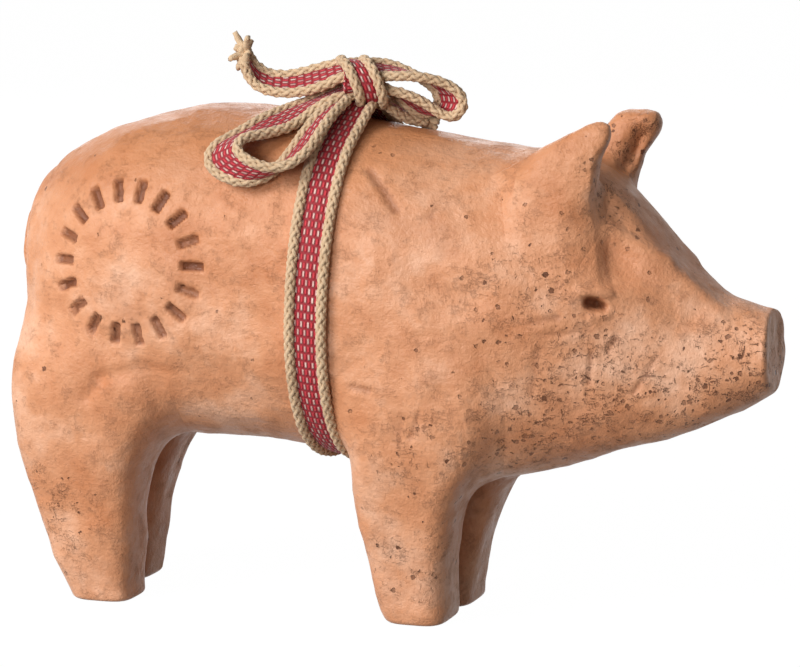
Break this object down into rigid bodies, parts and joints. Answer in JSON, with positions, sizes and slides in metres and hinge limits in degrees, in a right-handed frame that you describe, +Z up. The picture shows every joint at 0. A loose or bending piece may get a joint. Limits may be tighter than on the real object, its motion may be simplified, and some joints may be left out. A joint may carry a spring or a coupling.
{
  "type": "clay pig figurine with ribbon bow",
  "caption": "Hand-built terracotta pig standing on its feet, with a woven ribbon edged in braided cord tied round its body in a bow on its back.",
  "frame": {"origin": "on the ground, under the middle of the pig", "axes": "+X from tail to snout, +Y to the pig's left side, +Z up"},
  "size_m": [0.1668, 0.06, 0.1199],
  "materials": {
    "clay": "unglazed matte fired clay, scratched and pitted by hand",
    "tape": "red plain weave with rows of white dashes",
    "cord": "natural undyed braid"
  },
  "bodies": {
    "root": {"trunk": "clay", "tail": "clay", "leg_rear_right": "clay", "leg_rear_left": "clay", "leg_front_right": "clay", "leg_front_left": "clay", "ear_right": "clay", "ear_left": "clay", "wrap_tape": "tape", "wrap_rear_cord": "cord", "wrap_front_cord": "cord", "knot_core": "tape", "knot_tape": "tape", "knot_rear_cord": "cord", "knot_front_cord": "cord", "near_loop_near_cord": "cord", "near_loop_far_cord": "cord", "near_loop_tape": "tape", "right_loop_near_cord": "cord", "right_loop_far_cord": "cord", "right_loop_tape": "tape", "upper_tail_near_cord": "cord", "upper_tail_far_cord": "cord", "upper_tail_tape": "tape", "lower_tail_near_cord": "cord", "lower_tail_far_cord": "cord", "lower_tail_tape": "tape"}
  },
  "joints": []
}
